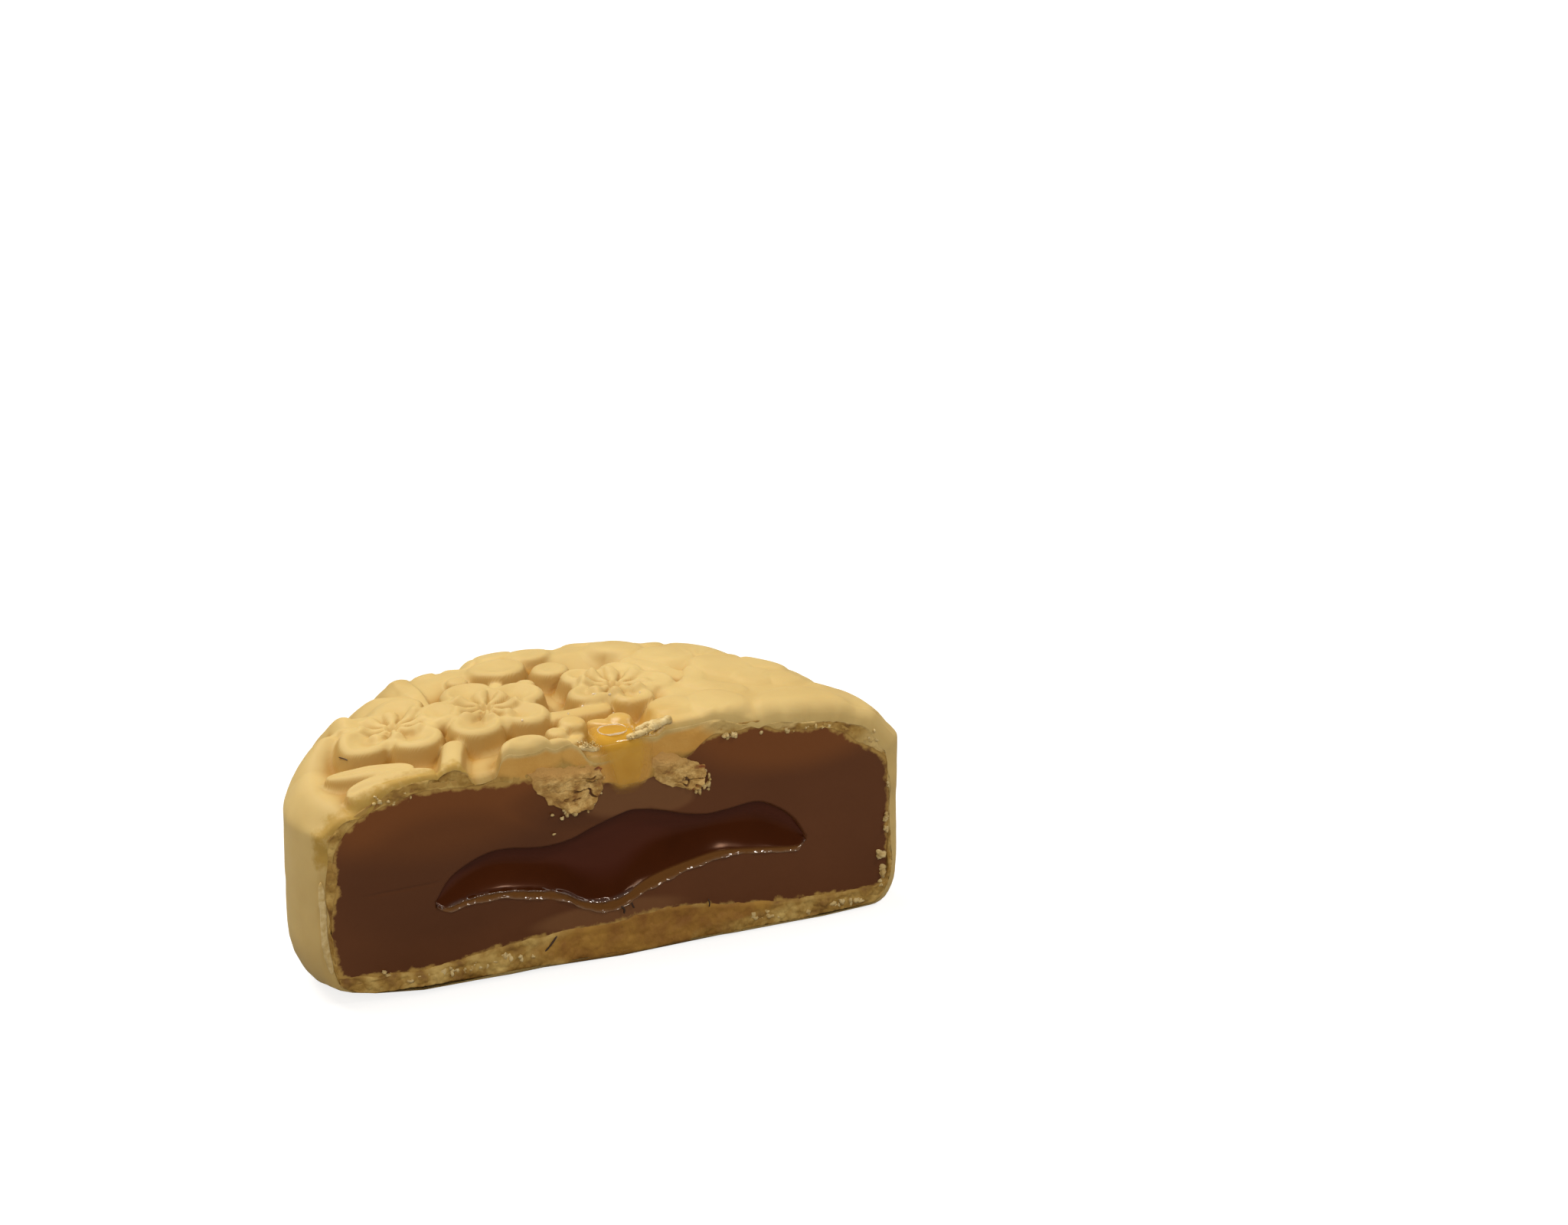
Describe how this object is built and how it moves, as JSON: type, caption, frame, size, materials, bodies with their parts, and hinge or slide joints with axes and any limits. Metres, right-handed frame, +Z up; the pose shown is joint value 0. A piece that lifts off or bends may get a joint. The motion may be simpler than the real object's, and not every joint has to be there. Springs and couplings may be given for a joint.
{
  "type": "osmanthus mooncake half",
  "caption": "Half of a round scalloped mooncake, as cut: pale crust with embossed blossoms and pine, bean-paste filling and an osmanthus jam heart, resting on its flat base.",
  "frame": {"origin": "on the base plane, under the middle of the cake's bounding box", "axes": "+Z up from the flat base; X along the knife's cut; the cut faces -Y and the scalloped back is at +Y"},
  "size_m": [0.0668, 0.0342, 0.0271],
  "materials": {
    "baked_crust": "smooth matte baked dough, pale straw yellow, rough where it is cut",
    "bean_paste": "dense smooth brown paste with a faint oily sheen",
    "osmanthus_jam": "wet glossy dark amber-brown jam"
  },
  "bodies": {
    "root": {"crust": "baked_crust", "filling": "bean_paste", "osmanthus_jam": "osmanthus_jam"}
  },
  "joints": []
}
